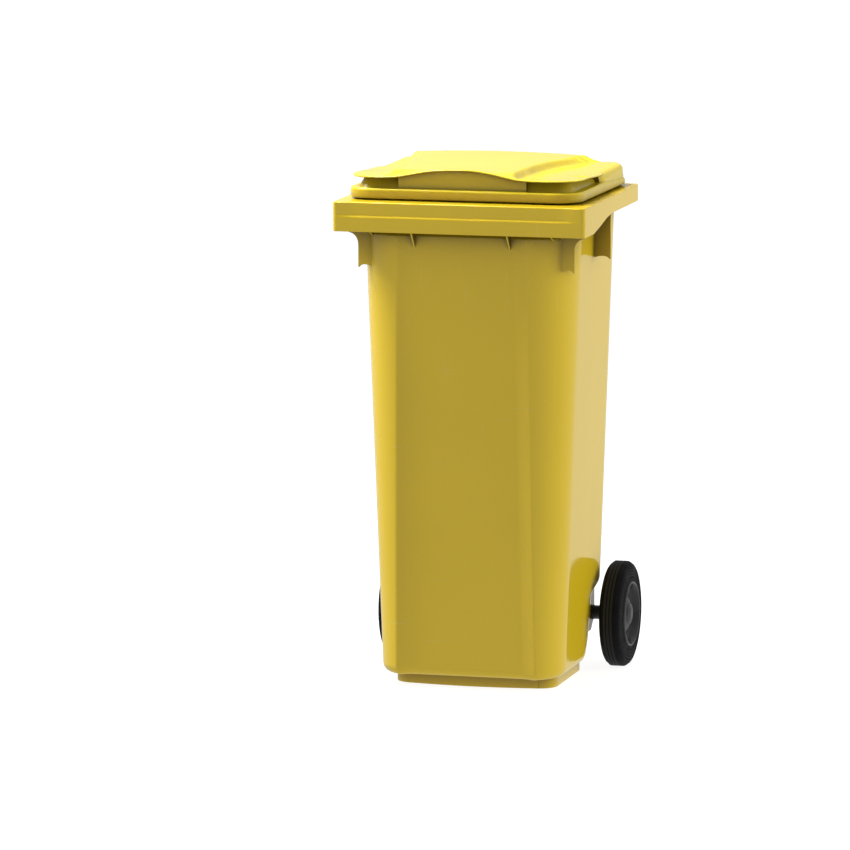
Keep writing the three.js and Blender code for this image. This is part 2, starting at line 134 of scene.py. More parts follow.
def make(name, verts, faces, sharp=SHARP):
    """A smooth-shaded mesh object from millimetres, with hard edges above an angle."""
    mesh = bpy.data.meshes.new(name)
    mesh.from_pydata((np.asarray(verts, float) * MM).tolist(), [], faces)
    mesh.validate()
    obj = bpy.data.objects.new(name, mesh)
    bpy.context.scene.collection.objects.link(obj)
    soften(obj, sharp)
    return obj


def soften(obj, sharp=SHARP):
    """Smooth shading with hard edges above an angle."""
    mesh = obj.data
    mesh.shade_smooth()
    mesh.set_sharp_from_angle(angle=math.radians(sharp))


def weld_normals(obj):
    """Shading normals weighted by face area, so flat faces look flat beside their rounded edges."""
    mod = obj.modifiers.new("weighted", "WEIGHTED_NORMAL")
    mod.keep_sharp = True
    mod.weight = 50               # by face area alone
    apply_modifiers(obj)


def apply_modifiers(obj):
    """Replaces the mesh by what the object's modifiers make of it."""
    bpy.context.view_layer.update()
    evaluated = obj.evaluated_get(bpy.context.evaluated_depsgraph_get())
    mesh = bpy.data.meshes.new_from_object(evaluated)
    obj.modifiers.clear()
    obj.data = mesh


def boolean(obj, tools, operation):
    """Applies one boolean with each tool and removes the tools."""
    for tool in tools:
        cut_or_join(obj, tool, operation)
        bpy.data.objects.remove(tool)


def cut_or_join(obj, tool, operation):
    mod = obj.modifiers.new("bool", "BOOLEAN")
    mod.operation, mod.solver, mod.object = operation, "MANIFOLD", tool
    apply_modifiers(obj)


def loft_faces(rings, columns):
    """Faces between rings of the same number of columns, with a cap at both ends."""
    faces = []
    for r in range(rings - 1):
        for c in range(columns):
            a, b = r * columns + c, r * columns + (c + 1) % columns
            faces.append((a, b, b + columns, a + columns))
    faces.append(tuple(range(columns - 1, -1, -1)))
    faces.append(tuple(range((rings - 1) * columns, rings * columns)))
    return faces


def loft(name, rings, sharp=SHARP):
    verts = np.concatenate(rings)
    return make(name, verts, loft_faces(len(rings), len(rings[0])), sharp)


def plate(name, outline, t0, t1, plane="YZ", bevel=1.0):
    """A plate with a closed outline and softened edges. Plane YZ is extruded along X, plane XZ along Y."""
    n = len(outline)
    flat = np.asarray(outline, float)
    area = np.sum(flat[:, 0] * np.roll(flat[:, 1], -1) - np.roll(flat[:, 0], -1) * flat[:, 1])
    if area < 0:
        flat = flat[::-1]
    verts = []
    for t in (t0, t1):
        for a, b in flat:
            verts.append((t, a, b) if plane == "YZ" else (a, t, b))
    order = list(range(n))
    faces = [tuple(reversed(order)), tuple(i + n for i in order)]
    faces += [(i, (i + 1) % n, (i + 1) % n + n, i + n) for i in order]
    if plane == "XZ":
        faces = [tuple(reversed(f)) for f in faces]
    obj = make(name, verts, faces)
    if bevel:
        soften_edges(obj, bevel)
    return obj


def soften_edges(obj, width):
    """Rounds the edges of a plate."""
    mod = obj.modifiers.new("bevel", "BEVEL")
    mod.width, mod.segments, mod.limit_method = width * MM, 2, "ANGLE"
    mod.angle_limit = math.radians(50.0)
    mod.use_clamp_overlap = True
    apply_modifiers(obj)
    soften(obj)


def arc(cx, cy, radius, start, stop, steps):
    angles = np.radians(np.linspace(start, stop, steps))
    return np.stack([cx + radius * np.cos(angles), cy + radius * np.sin(angles)], 1)


def rod(name, radius, x0, x1, y, z, sides):
    """A closed rod along X."""
    return turned(name, [(x0, 0.0), (x0, radius), (x1, radius), (x1, 0.0)], y, z, sides)


def turned(name, profile, y, z, sides=96, flip=False, sharp=SHARP):
    """A profile of (x, radius) turned about the line along X through (y, z). Points on the line become poles.

    A profile that starts off the line is closed into a ring. flip mirrors the piece to the left side.
    """
    verts, rows = [], []
    for x, radius in profile:
        if radius < TINY:
            rows.append([len(verts)])
            verts.append((x, y, z))
        else:
            ring = []
            for i in range(sides):
                a = 2 * math.pi * i / sides
                ring.append(len(verts))
                verts.append((x, y + radius * math.cos(a), z + radius * math.sin(a)))
            rows.append(ring)
    closed = profile[0][1] > TINY
    faces = []
    pairs = list(zip(rows, rows[1:])) + ([(rows[-1], rows[0])] if closed else [])
    for low, high in pairs:
        for i in range(sides):
            j = (i + 1) % sides
            if len(low) == 1 and len(high) == 1:
                break
            if len(low) == 1:
                faces.append((low[0], high[i], high[j]))
            elif len(high) == 1:
                faces.append((low[i], high[0], low[j]))
            else:
                faces.append((low[i], high[i], high[j], low[j]))
    verts = np.array(verts)
    if flip:
        verts[:, 0] *= -1
    obj = make(name, verts, faces, sharp)
    bm = bmesh.new()
    bm.from_mesh(obj.data)
    bmesh.ops.recalc_face_normals(bm, faces=bm.faces)
    bm.to_mesh(obj.data)
    bm.free()
    soften(obj, sharp)
    return obj


def rod_z(name, radius, x, y, z0, z1, sides):
    """A closed rod along Z."""
    bm = bmesh.new()
    middle = Matrix.Translation((x * MM, y * MM, (z0 + z1) / 2 * MM))
    bmesh.ops.create_cone(bm, cap_ends=True, segments=sides, radius1=radius * MM, radius2=radius * MM,
                          depth=(z1 - z0) * MM, matrix=middle)
    mesh = bpy.data.meshes.new(name)
    bm.to_mesh(mesh)
    bm.free()
    obj = bpy.data.objects.new(name, mesh)
    bpy.context.scene.collection.objects.link(obj)
    soften(obj)
    return obj


# ---------- columns of a ring ----------
# A ring runs from the middle of the front round the right side to the rear's middle, and back on the left.
# Every ring of the body or the lid has the same columns, so that rings of different outlines can be joined.
PANEL_N, SLOPE_N, CREASE_N, POST_N, CORNER_N, SIDE_N, REAR_N = 10, 8, 5, 8, 8, 44, 12
CORNER_FROM, CORNER_TO = 36.0, 46.0    # degrees of a front corner, from the front, under CORNER_N columns
REAR_FROM, REAR_TO = 40, 52       # degrees of a rear corner, from the side, under CORNER_N columns
ARC_N = 6                         # columns of a rear corner's arc before and after those
SIDE_ARC_N = SIDE_N // 3 + 1      # columns of a front corner's arc behind its CORNER_N columns
COLUMN_X = (95, 119, 126)         # x on a rounded ring where the panel, the slope and the crease end
BOW_HALF = 121.0                  # half width over which a bowed front curves back


def mirrored(half):
    """A whole ring from its right half, whose first and last points lie in the middle."""
    half = np.asarray(half, float)
    left = half[1:-1][::-1] * (-1, 1)
    return np.concatenate([half, left])


def rounded_ring(half, front, rear, r_front, r_rear, bow=0.0, inset=0.0):
    """A rounded rectangle with as many columns as the body's outline has."""
    half, front, rear = half - inset, front + inset, rear - inset
    r_front, r_rear = max(r_front - inset, 0.4), max(r_rear - inset, 0.4)
    starts = (0, *COLUMN_X[:2])
    counts = (PANEL_N, SLOPE_N, CREASE_N)
    xs = np.concatenate([np.linspace(a, b, n, endpoint=False) for a, b, n in zip(starts, COLUMN_X, counts)])
    xs = np.minimum(xs, half - r_front - 10)
    post_from = max(xs[-1] + 2, COLUMN_X[2])
    xs = np.concatenate([xs, np.linspace(post_from, half - r_front, POST_N, endpoint=False)])
    run = [(x, front + bow * min(1.0, (x / BOW_HALF) ** 2)) for x in xs]
    corner = arc(half - r_front, front + bow + r_front, r_front, -90, 0, CORNER_N)
    side = [(half, y) for y in np.linspace(front + bow + r_front, rear - r_rear, SIDE_N + 2)[1:-1]]
    back_corner = arc(half - r_rear, rear - r_rear, r_rear, 0, 90, CORNER_N)
    back = [(x, rear) for x in np.linspace(half - r_rear, 0, REAR_N + 1)[1:]]
    return mirrored([*run, *corner, *side, *back_corner, *back])


def shelf_y(z):
    """The rear wall's place, averaged over 7 mm up and down so that its bends are round."""
    zs, ys = zip(*SHELF)
    return float(np.mean(np.interp(np.asarray(z) + np.linspace(-7, 7, 15), zs, ys)))


def comb_step(z):
    """0 below the step for the lifting comb, 1 above it."""
    return float(ease(z, COMB_Z, COMB_Z + COMB_RISE))


def body_ring(z, inset=0.0, tuck=0.0, comb_shift=0.0):
    """The body's outline at a height: posts, front panel, sides and rear.

    inset and tuck both shrink it. On the inside, comb_shift lowers the step in front and the shelf is higher.
    """
    inset = inset + tuck
    half = at_height(z, SIDE_HALF) - inset
    comb = comb_step(z + comb_shift)
    front = lerp(at_height(z, POST_FRONT), COMB_FRONT, comb) + inset
    panel_y = lerp(at_height(z, PANEL_FRONT), COMB_FRONT + 3, comb) + inset
    rear = shelf_y(z - (5 if inset >= SKIN and tuck == 0 else 0)) - inset
    radius = at_height(z, FRONT_RADIUS) - inset
    rear_r = lerp(*REAR_RADIUS, float(ease(z, *REAR_BEND))) - inset
    crease = at_height(z, CREASE_HALF) - 0.4 * inset
    cx, cy = half - radius, front + radius
    first, last = crease - CREASE_REACH, crease + CREASE_REACH

    def on_arc(x):
        return cy - math.sqrt(max(radius ** 2 - (x - cx) ** 2, 0.0))

    def slope(x):
        share = min(1.0, max(0.0, (x - crease + PANEL_SLOPE) / PANEL_SLOPE))
        return panel_y - step * share ** SLOPE_POWER

    crease_y = on_arc(crease)
    step = panel_y - crease_y
    run = [(x, panel_y) for x in np.linspace(0, crease - PANEL_SLOPE, PANEL_N, endpoint=False)]
    run += [(x, slope(x)) for x in np.linspace(crease - PANEL_SLOPE, first, SLOPE_N, endpoint=False)]
    p0, p1, p2 = (np.array(p) for p in ((first, slope(first)), (crease, crease_y), (last, on_arc(last))))
    for t in np.linspace(0, 1, CREASE_N, endpoint=False):
        run.append(tuple((1 - t) ** 2 * p0 + 2 * t * (1 - t) * p1 + t * t * p2))
    start = math.degrees(math.asin((last - cx) / radius))
    post = np.linspace(start, CORNER_FROM, POST_N, endpoint=False)
    corner = np.linspace(CORNER_FROM, CORNER_TO, CORNER_N)
    side_arc = np.linspace(CORNER_TO, 90, SIDE_ARC_N + 1)[1:]
    for a in np.radians(np.concatenate([post, corner, side_arc])):
        run.append((cx + radius * math.sin(a), cy - radius * math.cos(a)))
    straight = SIDE_N - SIDE_ARC_N - ARC_N
    run += [(half, y) for y in np.linspace(cy, rear - rear_r, straight + 2)[1:-1]]
    rear_arc = np.concatenate([np.linspace(0, REAR_FROM, ARC_N + 1)[:-1],
                               np.linspace(REAR_FROM, REAR_TO, CORNER_N),
                               np.linspace(REAR_TO, 90, ARC_N + 1)[1:]])
    for a in np.radians(rear_arc):
        run.append((half - rear_r + rear_r * math.cos(a), rear - rear_r + rear_r * math.sin(a)))
    run += [(x, rear) for x in np.linspace(half - rear_r, 0, REAR_N - ARC_N + 1)[1:]]
    return mirrored(run)


def raised(ring, z):
    """Gives a flat ring its height, one number or one for each column."""
    z = np.broadcast_to(np.asarray(z, float), (len(ring),))
    return np.column_stack([ring, z])


# ---------- body ----------
def band_low(ring):
    """Height of the band's lower edge at each column: deep in front, shallow at the sides and rear."""
    ys, rises = zip(*BAND_SWEEP)
    return RIM_TOP - FRONT_BAND + np.interp(ring[:, 1], ys, rises)


def quarter(steps):
    """Angles from 0 to a right angle."""
    return [math.radians(90 * i / steps) for i in range(steps + 1)]


def body_rings():
    """Rings over the foot, up the outside, round the rim and down the inside to the floor."""
    rings = []
    centre = np.array(BASE_MIDDLE)

    def add(ring, z):
        rings.append(raised(ring, z))

    def foot(inset):
        return rounded_ring(FOOT_HALF, FOOT_FRONT, FOOT_REAR, *FOOT_CORNERS, FOOT_BOW, inset)

    def rim(inset):
        return rounded_ring(RIM_HALF, RIM_FRONT, RIM_REAR, *RIM_CORNERS, 0, inset)

    for scale in (0.15, 0.6):
        add(centre + (foot(FOOT_WALL) - centre) * scale, FLOOR_Z)
    add(foot(FOOT_WALL + 1.5), FLOOR_Z)
    add(foot(FOOT_WALL + 0.4), FLOOR_Z - 0.4)
    for inset, z in ((FOOT_WALL, 22.5), (FOOT_WALL, 8), (FOOT_WALL, 1), (FOOT_WALL - 0.3, 0.3),
                     (FOOT_WALL - 1, 0), (1.2, 0), (0.35, 0.35), (0, 1.2), (0, 8), (0, 16), (0, 22),
                     (-0.3, 23.4), (-1.4, FLOOR_Z)):
        add(foot(inset), z)
    for a in quarter(8):
        z = FLOOR_Z + BASE_ROUND * (1 - math.cos(a))
        add(body_ring(z, tuck=BASE_TUCK * (1 - math.sin(a)) + (0.8 if a == 0 else 0)), z)
    for z in OUTER_LEVELS:
        add(body_ring(z), z)
    add(body_ring(910, inset=-0.9), 911.1)
    add(body_ring(911, inset=-3), RIM_TOP - SKIN)
    for inset, z in ((SKIN + 3, RIM_TOP - SKIN), (SKIN + 0.9, RIM_TOP - SKIN - 0.9),
                     (SKIN, RIM_TOP - SKIN - 3)):
        add(rim(inset), z)
    low = band_low(rim(0))
    for inset, lift in ((SKIN, 1.2), (SKIN - 0.35, 0.35), (SKIN - 1.2, 0), (1.2, 0), (0.35, 0.35), (0, 1.2)):
        add(rim(inset), low + lift)
    outer = rim(0)
    inside_ends = 1 - ease(np.abs(outer[:, 0] - RECESS_MIDDLE), *RECESS_ENDS)
    depth = RECESS * inside_ends * (outer[:, 1] < RIM_FRONT + 1)

    def recessed(inset, share):
        ring = rim(inset)
        ring[:, 1] += depth * share
        return ring

    for z, share in ((886.8, 0), (RIDGE_Z - 2, 0), (RIDGE_Z - 1.2, 0.12), (RIDGE_Z - 0.4, 0.4),
                     (RIDGE_Z + 0.4, 0.72), (RIDGE_Z + 1.2, 0.94), (RIDGE_Z + 2, 1), (900, 1), (908, 1)):
        add(recessed(0, share), z)
    for a in quarter(4):
        add(recessed(RIM_EDGE * (1 - math.cos(a)), 1), RIM_TOP - RIM_EDGE * (1 - math.sin(a)))
    add(rim(5), RIM_TOP)
    add(body_ring(MOUTH_Z), RIM_TOP)
    for a in quarter(4):
        ring = body_ring(MOUTH_Z, inset=SKIN - MOUTH_EDGE + MOUTH_EDGE * math.sin(a))
        add(ring, RIM_TOP - MOUTH_EDGE * (1 - math.cos(a)))
    for z in INNER_LEVELS:
        add(body_ring(z, inset=SKIN, comb_shift=SKIN), z)
    for a in quarter(6):
        z = INSIDE_FLOOR + BASE_ROUND - BASE_ROUND * math.sin(a)
        add(body_ring(z, inset=SKIN, tuck=BASE_TUCK * (1 - math.cos(a))), z)
    last = rings[-1][:, :2]
    for scale, z in ((0.92, INSIDE_FLOOR), (0.84, INSIDE_FLOOR), (0.82, DRY_FLOOR), (0.5, DRY_FLOOR),
                     (0.2, DRY_FLOOR), (0.05, DRY_FLOOR)):
        add(centre + (last - centre) * scale, z)
    return rings


def wall_x(y, z):
    """|x| of the front corner's outer surface at a depth and height."""
    half = at_height(z, SIDE_HALF)
    radius = at_height(z, FRONT_RADIUS)
    cy = lerp(at_height(z, POST_FRONT), COMB_FRONT, comb_step(z)) + radius
    return half - radius + math.sqrt(max(radius ** 2 - min(y - cy, 0.0) ** 2, 0.0))


def web_outline(y, outer_top, outer, low, neck):
    """Front view of an upright web: from inside the wall out to a flare under the rim."""
    top = RIM_TOP - SKIN / 2
    heights = np.linspace(top, low + 6, 9)
    inner = [(wall_x(y, z) - WEB_BITE, z) for z in heights]
    foot = [(inner[-1][0] + (outer - inner[-1][0]) * t, low + lift)
            for t, lift in ((0.12, 3.0), (0.35, 5.2), (0.6, 5.8), (0.8, 4.2), (0.92, 0.6), (1.0, 0.0))]
    flare = [(lerp(outer, outer_top, 1 - math.cos(a)), lerp(neck - FLARE, neck, math.sin(a)))
             for a in np.radians(np.linspace(12, 90, 7))]
    return inner + foot + [(outer, neck - FLARE)] + flare + [(outer_top, top)]


def with_mirror(obj):
    """The piece and its mirror image on the left."""
    copy = bpy.data.objects.new(obj.name + "_l", obj.data.copy())
    bpy.context.scene.collection.objects.link(copy)
    copy.data.transform(Matrix.Scale(-1, 4, Vector((1, 0, 0))))
    copy.data.flip_normals()
    return [obj, copy]


def build_body():
    body = loft("body_shell", body_rings())
    parts = []
    for y0, y1, top_half, foot_half, low, neck in WEBS:
        web = web_outline(y0, top_half, foot_half, low, neck)
        parts += with_mirror(plate("web", web, y0, y1, "XZ", WEB_BEVEL))
    band_y, under_top = RIM_FRONT + 2.5, RIM_TOP - 2
    for x, reach, low, rear in RIBS:
        rib = [(band_y, RIM_TOP - FRONT_BAND + 3), (reach, low), (rear, low + RIB_CLIMB), (rear, under_top),
               (band_y, under_top)]
        parts += with_mirror(plate("rib", rib, x - RIB_HALF, x + RIB_HALF, "YZ", 0.5))
    ear = np.concatenate([[(EAR_ROOT, 874), (244, 869)], arc(HINGE_Y, HINGE_Z, EAR_R, -100, 88, 22),
                          [(EAR_ROOT, RIM_TOP - 1.5)]])
    for x0, x1 in EAR_SPANS:
        parts += with_mirror(plate("ear", ear, x0, x1, "YZ", 1.6))
    parts += with_mirror(rod("grip", GRIP_R, *GRIP_SPAN, HINGE_Y, HINGE_Z, 64))
    seat = np.concatenate([[(34, 66), (100, 66)], arc(AXLE_Y, AXLE_Z, SEAT_R, -50, 0, 9),
                           [(127, 160), (34, 160)]])
    for x0, x1 in SEAT_SPANS:
        parts += with_mirror(plate("seat", seat, x0, x1, "YZ", 1.4))
    parts += with_mirror(rod("boss", BOSS_R, *BOSS_SPAN, AXLE_Y, AXLE_Z, 64))
    boolean(body, parts, "UNION")
    cutters = []
    for x, y in DRAINS:
        cutters += [rod_z("drain", DRAIN_R, side * x, y, RIM_TOP - 8, RIM_TOP + 4, 20) for side in (1, -1)]
    cutters += with_mirror(rod("bore", PIN_BORE, *BODY_BORE_SPAN, HINGE_Y, HINGE_Z, 40))
    cutters.append(rod("axle_bore", AXLE_BORE, -AXLE_BORE_HALF, AXLE_BORE_HALF, AXLE_Y, AXLE_Z, 48))
    boolean(body, cutters, "DIFFERENCE")
    body.name = "bin_body"
    soften(body, MOULDED)
    weld_normals(body)
    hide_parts("body")
    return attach(body, "body")


body = build_body()

# ---------- lid ----------
LID_HALF, LID_FRONT, LID_REAR = LID_HIGH[0], LID_LOW[1], 149.0
LID_BOTTOM, LID_LEDGE = 919.5, 938.0    # heights of the skirt's lower edge and of the ledge on top of it
LEDGE_FALL = 8.0                  # how far the skirt's top falls towards the rear
LID_SKIN = 3.5
LID_CORNERS = (46.0, 34.0)        # radius in front and behind
WING_CORNER = 58.0                # radius of the wings' corners
LID_LEAN = 0.0105                 # the lid sits a little to the left at its front
LID_MIDDLE = (0.0, -38.0)         # the rings of the lid's top close in on this point
POCKET_INNER, POCKET_REAR = 122.0, -40.0
POCKET_R, POCKET_RISE = 13.0, 13.5     # radius of the pocket's rear upper edge, and its height over the ledge
POCKET_AHEAD, POCKET_TOP = 14, 990     # the pocket's slab reaches this far in front of the lid, and this high
POCKET_WALL = ((908, 15.0), (938, 16.0), (951, 24.0), (1000, 40.0))    # height, set back from the skirt
# height of the front lip at each x
LIP = ((-222, 960), (-175, 960.8), (-128, 961.5), (-105, 965.5), (-82, 970.5), (-55, 975), (-20, 977.2),
       (8, 977.6), (28, 976.3), (60, 971.6), (83, 966), (106, 961.9), (130, 960.2), (222, 960.5))
LIP_BLEND = (2, 38)               # distances behind the lid's front between which the lip turns into the top
# height of the side edges at each y, and of the border beside the dome
SIDE_EDGE = ((-235, 960.4), (-190, 960.6), (-149, 960), (-95, 956.6), (-50, 956), (0, 956.4), (60, 957.2),
             (113, 958), (149, 958.4))
BORDER = ((LID_FRONT, 959.5), (-150, 958), (LID_REAR, 957.2))
BORDER_X, BORDER_WIDTH = 128, 90  # where the border starts to turn into the side edge, and over what width
DOME_X = -22.0
DOME_BASE = ((-235, 125), (-150, 127), (-73, 129), (0, 141), (80, 166), (149, 190))    # y, half width
DOME_SLOPE = ((-235, 13), (-100, 13), (149, 20))    # y, width of the dome's slope
DOME_TOP, DOME_CAMBER, DOME_HALF = 973.0, 3.1, 140
POST_X, POST_YS, POST_R = 209.5, (-160, 110), 6     # posts inside the lid that carry the buffers
ARM_SPAN, ARM_R, ARM_ROOT = (170, 186), 16, LID_REAR - 1.5


def averaged(table, v, reach):
    """A table's value at v, averaged over a reach so that its bends are round."""
    xs, ys = zip(*table)
    v = np.asarray(v, float)
    return np.mean([np.interp(v + d, xs, ys) for d in np.linspace(-reach, reach, 9)], 0)


def lid_top(x, y):
    """Height of the lid's outer surface: flat borders, a dome, and a crest along the front lip."""
    side = averaged(SIDE_EDGE, y, 14)
    near = np.interp(y, *zip(*BORDER))
    out = np.clip((np.abs(x) - BORDER_X) / BORDER_WIDTH, 0, 1) ** 1.5
    border = near + (side - near) * out
    across = np.abs(x - DOME_X)
    rise = ease(averaged(DOME_BASE, y, 16) - across, 0, averaged(DOME_SLOPE, y, 8))
    plateau = DOME_TOP - DOME_CAMBER * (across / DOME_HALF) ** 2
    dome = border + (plateau - border) * rise
    lip = averaged(LIP, x, 9)
    return lip + (dome - lip) * ease(y, *(LID_FRONT + d for d in LIP_BLEND))


def lid_ring(inset, r_front=LID_CORNERS[0]):
    return rounded_ring(LID_HALF, LID_FRONT, LID_REAR, r_front, LID_CORNERS[1], 0, inset)


def ledge_z(ring):
    return LID_LEDGE - LEDGE_FALL * ease(ring[:, 1], -60, LID_REAR)


# (inset, height above the ledge, or below the top where not above 0) for the wings' overhanging lip, and for
# the plain wall behind them
LIP_SHAPE = ((11, 0.3), (11, 4), (10.6, -5.6), (9.4, -4.4), (4.0, -3.9), (2.0, -2.8), (1.9, -1.3),
             (3.0, -0.3), (5, 0))
WALL_SHAPE = ((3, 0.3), (3.6, 5), (4.6, -10), (5.8, -7), (7.6, -4.6), (10, -2.8), (13, -1.3), (16.5, -0.3),
              (21, 0))
LIP_INSIDE, WALL_INSIDE = 11.0, 4.5    # least insets of the inside's rings under the lip and inside the wall
SKIRT_DROP = 0.35                 # share of the skin by which the inside's ledge lies lower


def lid_rings(lowered):
    """Outer surface of the lid, or the surface that lies a skin below it."""
    rings = []
    grow = LID_SKIN if lowered else 0.0
    bottom = ((grow, -4), (grow, 6)) if lowered else ((1.0, 0), (0.3, 0.3), (0, 1.2), (0, 4))
    for inset, lift in bottom:
        rings.append(raised(lid_ring(inset), LID_BOTTOM + lift))
    for a in quarter(6)[1:]:
        ring = lid_ring(grow + 3 * (1 - math.cos(a)))
        rings.append(raised(ring, ledge_z(ring) - 6 - SKIRT_DROP * grow + 5.6 * math.sin(a)))
    edge = lid_ring(6)
    wing = 1 - ease(edge[:, 1], POCKET_REAR - 12, POCKET_REAR + 26)
    top = lid_top(edge[:, 0], edge[:, 1]) - grow
    ledge = ledge_z(edge) - SKIRT_DROP * grow
    for (ia, ha), (ib, hb) in zip(LIP_SHAPE, WALL_SHAPE):
        za, zb = (ledge + h if h > 0 else top + h for h in (ha, hb))
        if lowered:
            ia, ib = max(ia, LIP_INSIDE), max(ib, WALL_INSIDE)
        ra = lid_ring(ia + grow, WING_CORNER if ia < 8 else LID_CORNERS[0])
        ring = lid_ring(ib + grow)
        ring = ring + (ra - ring) * wing[:, None]
        rings.append(np.column_stack([ring, zb + (za - zb) * wing]))
    centre = np.array(LID_MIDDLE)
    border = rings[-1][:, :2]
    for t in (*np.linspace(0, 1, 74)[1:-1], 0.99):
        ring = centre + (border - centre) * (1 - t)
        rings.append(raised(ring, lid_top(ring[:, 0], ring[:, 1]) - grow))
    return rings


def lean(obj):
    """Moves the lid's moulding to the left in proportion to its distance from the hinge."""
    for v in obj.data.vertices:
        v.co.x -= LID_LEAN * (HINGE_Y * MM - v.co.y)


def pocket_tool(side, grow, ceiling):
    """The space under one wing: a slab with a rounded rear end, in front of a wall set back round the corner.

    grow makes it larger all round, and a ceiling cuts it off.
    """
    rear, front, floor_z = POCKET_REAR + grow, LID_FRONT - POCKET_AHEAD, LID_LEDGE - grow
    outline = [(front, floor_z), (rear, floor_z)]
    centre_z = LID_LEDGE + POCKET_RISE + grow - POCKET_R
    outline += list(map(tuple, arc(rear - POCKET_R, centre_z, POCKET_R, 0, 80, 9)))
    outline += [(rear - 28, LID_LEDGE + 14.6 + grow), (rear - 60, POCKET_TOP), (front, POCKET_TOP)]
    x0, x1 = sorted((side * (POCKET_INNER - grow), side * (LID_HALF + 8)))
    slab = plate("pocket", outline, x0, x1, "YZ", 0)
    back_wall = loft("setback", [raised(lid_ring(inset + grow), z) for z, inset in POCKET_WALL])
    boolean(slab, [back_wall], "DIFFERENCE")
    if ceiling is not None:
        cut_or_join(slab, ceiling, "INTERSECT")
    return slab


def build_lid():
    lid = loft("lid_shell", lid_rings(False))
    cavity = loft("lid_cavity", lid_rings(True))
    boolean(cavity, [pocket_tool(1, LID_SKIN, None), pocket_tool(-1, LID_SKIN, None)], "DIFFERENCE")
    rows = [raised(lid_ring(-16), LID_LEDGE - 30)]
    for d in (-16, -10, -4, 2, 8, 16, 24, 32, 40):
        ring = lid_ring(d)
        rows.append(raised(ring, lid_top(ring[:, 0], np.clip(ring[:, 1], LID_FRONT, LID_REAR)) - LID_SKIN))
    ceiling = loft("ceiling", rows)
    gaps = [pocket_tool(1, 0, ceiling), pocket_tool(-1, 0, ceiling)]
    bpy.data.objects.remove(ceiling)
    posts = [rod_z("post", POST_R, side * POST_X, y, 926, 935, 24) for side in (1, -1) for y in POST_YS]
    boolean(lid, [cavity, *gaps], "DIFFERENCE")
    lean(lid)
    arm = np.concatenate([[(ARM_ROOT, 924)], arc(HINGE_Y, HINGE_Z, ARM_R, -115, 60, 18), [(ARM_ROOT, 951)]])
    boolean(lid, with_mirror(plate("arm", arm, *ARM_SPAN, "YZ", 2.0)) + posts, "UNION")
    boolean(lid, with_mirror(rod("bore", PIN_BORE, *ARM_BORE_SPAN, HINGE_Y, HINGE_Z, 40)), "DIFFERENCE")
    lid.name = "bin_lid"
    soften(lid, MOULDED)
    weld_normals(lid)
    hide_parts("lid")
    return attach(lid, "lid")


lid = build_lid()

# ---------- wheels, axle, pins and buffers ----------
WHEEL_R = (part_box("tyre_right")[1].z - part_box("tyre_right")[0].z) / MM / 2
TYRE_IN, TYRE_OUT = (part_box("tyre_right")[i].x / MM for i in (0, 1))
TYRE_BORE = 62.0
SIDEWALL_GROOVES = (70.0, 75.5, 81.0, 86.5)       # radii of the fine grooves in each sidewall
TREAD_GROOVES = (205.0, 211.5, 218.0, 224.5)      # x of the fine grooves round the tread
GROOVE_DEPTH, TREAD_DEPTH = 1.3, 0.8
BEAD_R = 66.0                     # the sidewall's bead ends here and its flank begins
LOCK_X, LOCK_HOLE, LOCK_SPAN = 214.0, 4.0, (9, 41)    # the hub's hole for its lock pin, from the axle up


def sidewall(x, out):
    """Profile up one sidewall: bead, fine grooves, rounded flank and chamfered shoulder. out is +1 or -1."""
    points = [(x - 1.2 * out, TYRE_BORE), (x - 0.5 * out, TYRE_BORE + 0.3), (x - 0.1 * out, TYRE_BORE + 1.2),
              (x, BEAD_R)]
    for r in SIDEWALL_GROOVES:
        flank = x - out * 1.1 * max(0.0, (r - BEAD_R) / 24) ** 2
        bottom = flank - GROOVE_DEPTH * out
        points += [(flank, r - 1.5), (bottom, r - 0.7), (bottom, r + 0.7), (flank, r + 1.5)]
    points += [(x - 1.5 * out, 90.5), (x - 2.3 * out, 93.2), (x - 3.8 * out, 95.6), (x - 8.4 * out, 99.0),
               (x - 9.8 * out, WHEEL_R - 0.3), (x - 11.2 * out, WHEEL_R)]
    return points


def build_tyre(side, flip):
    profile = sidewall(TYRE_OUT, 1)
    for x in reversed(TREAD_GROOVES):
        bottom = WHEEL_R - TREAD_DEPTH
        profile += [(x + 0.9, WHEEL_R), (x + 0.4, bottom), (x - 0.4, bottom), (x - 0.9, WHEEL_R)]
    profile += sidewall(TYRE_IN, -1)[::-1]
    return turned(f"tyre_{side}_shaped", profile, AXLE_Y, AXLE_Z, 160, flip, WHEELED)


